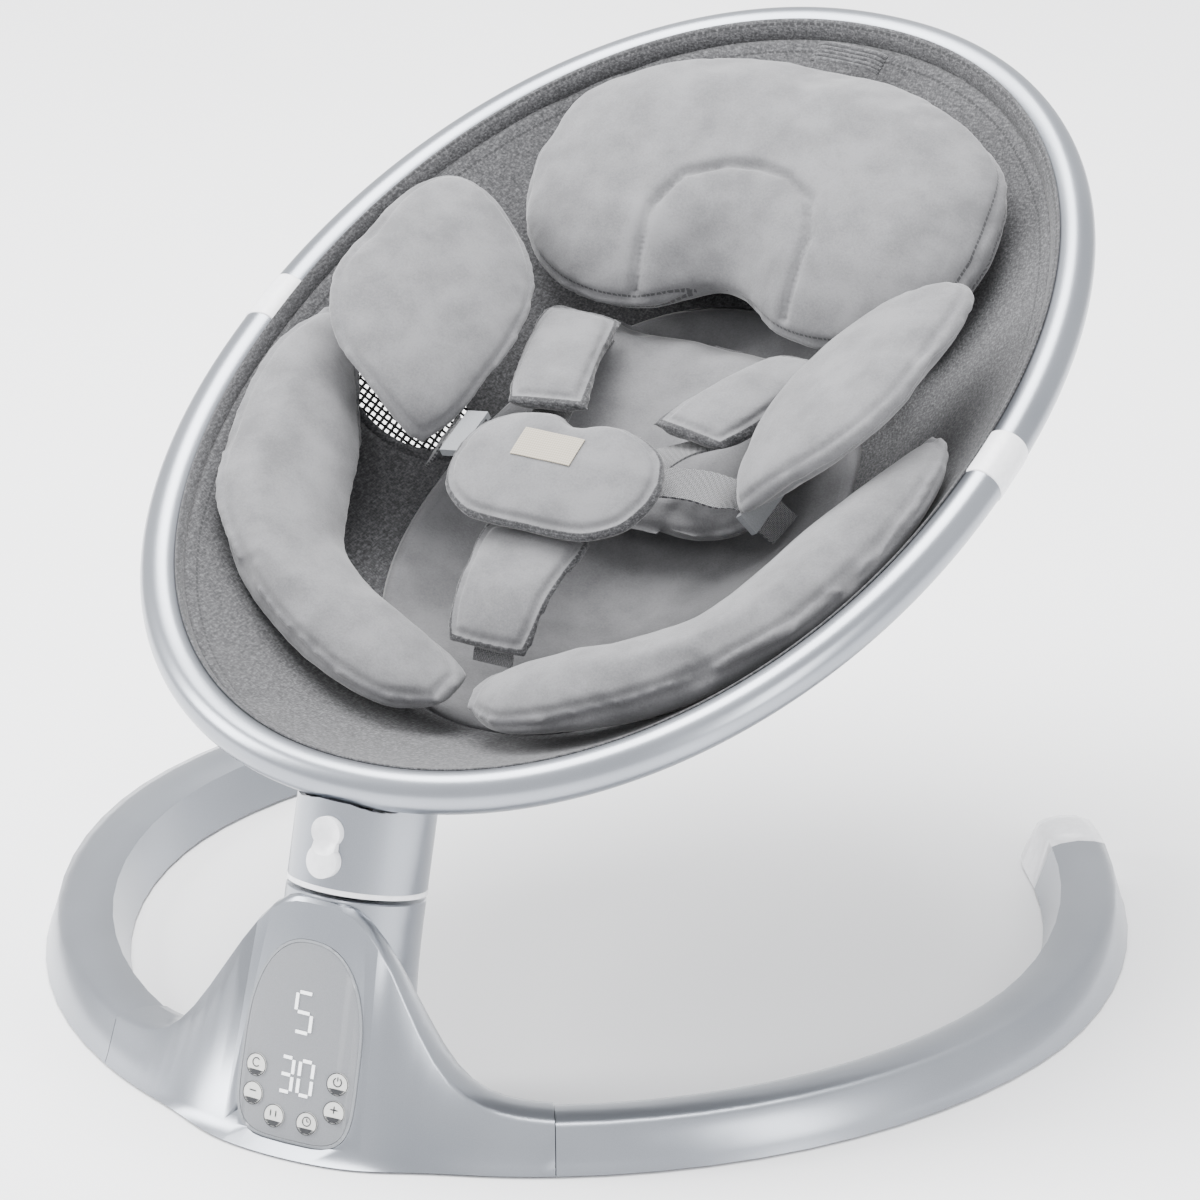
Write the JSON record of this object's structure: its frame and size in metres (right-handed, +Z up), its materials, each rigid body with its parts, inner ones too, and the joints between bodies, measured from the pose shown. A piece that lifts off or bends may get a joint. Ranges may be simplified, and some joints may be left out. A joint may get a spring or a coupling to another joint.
{
  "type": "baby swing",
  "caption": "Powered baby swing with an oval ring seat, padded petal cushions and harness on a leaning post above a C-shaped floor base.",
  "frame": {"origin": "centre of the bounding box footprint at floor level", "axes": "+X to the right side of the seat, +Y towards the head end, +Z up"},
  "size_m": [0.612, 0.6946, 0.446],
  "materials": {
    "silver_paint": "satin silver",
    "white_plastic": "gloss",
    "dark_plastic": "matte",
    "rubber": "matte",
    "steel": "brushed",
    "panel_face": "satin",
    "trim": "satin",
    "lit_bars": "lit",
    "key_marks": "satin",
    "board_green": "matte",
    "copper_coil": "wound wire",
    "melange_fabric": "heather weave",
    "mesh_fabric": "open net",
    "velvet_fabric": "short pile",
    "webbing": "basket weave",
    "red_plastic": "gloss",
    "label_fabric": "woven"
  },
  "bodies": {
    "base": {"base_housing": "silver_paint", "base_bottom_plate": "dark_plastic", "bottom_screws": "steel", "rubber_feet": "rubber", "leg_left": "silver_paint", "leg_right": "silver_paint", "leg_spigot_left": "dark_plastic", "leg_spigot_right": "dark_plastic", "leg_cap_left": "white_plastic", "leg_cap_right": "white_plastic", "control_panel": "panel_face", "panel_bezel": "trim", "display_digits": "lit_bars", "touch_key_marks": "key_marks", "circuit_board": "board_green", "speaker": "dark_plastic", "power_inlet": "dark_plastic", "post_shell": "silver_paint", "lower_bearing": "steel", "upper_bearing": "steel", "drive_coil": "copper_coil"},
    "seat": {"recline_knuckle": "steel", "ring_clamp": "dark_plastic", "ring_lower_tube": "silver_paint", "ring_upper_tube": "silver_paint", "ring_connector_left": "white_plastic", "ring_connector_right": "white_plastic", "sling_fabric": "melange_fabric", "mesh_window_left": "mesh_fabric", "mesh_window_right": "mesh_fabric", "head_tab": "melange_fabric", "seat_pad": "velvet_fabric", "back_pad": "velvet_fabric", "upper_petal_left": "velvet_fabric", "upper_petal_right": "velvet_fabric", "lower_petal_left": "velvet_fabric", "lower_petal_right": "velvet_fabric", "head_pillow": "velvet_fabric", "shoulder_pad_left": "velvet_fabric", "shoulder_pad_right": "velvet_fabric", "shoulder_strap_left": "webbing", "shoulder_strap_right": "webbing", "waist_strap_left": "webbing", "waist_strap_right": "webbing", "strap_adjusters": "dark_plastic", "crotch_strap": "webbing", "crotch_pad": "velvet_fabric", "buckle_body": "dark_plastic", "buckle_tongue_left": "dark_plastic", "buckle_tongue_right": "dark_plastic", "buckle_cover": "velvet_fabric", "cover_label": "label_fabric"},
    "neck": {"neck_shell": "silver_paint", "neck_collar": "white_plastic", "swing_shaft": "steel", "drive_arm": "dark_plastic", "recline_pin": "steel"},
    "latch": {"recline_latch": "white_plastic"},
    "release_button": {"buckle_button": "red_plastic"}
  },
  "joints": [
    {"name": "swing", "type": "hinge", "parent": "base", "child": "neck", "pos_m": [0, -0.25865, 0.131], "axis": [0, 0.2588, 0.9659], "range_deg": [-12, 12]},
    {"name": "recline", "type": "hinge", "parent": "neck", "child": "seat", "pos_m": [0, -0.24933, 0.16577], "axis": [1, 0, 0], "range_deg": [-12, 0]},
    {"name": "recline_latch", "type": "slide", "parent": "neck", "child": "latch", "axis": [0, -0.2588, -0.9659], "range_m": [0, 0.005], "stiffness_N_per_m": 400},
    {"name": "buckle_button", "type": "slide", "parent": "seat", "child": "release_button", "axis": [0, 0.3633, -0.9317], "range_m": [0, 0.002], "stiffness_N_per_m": 600}
  ]
}
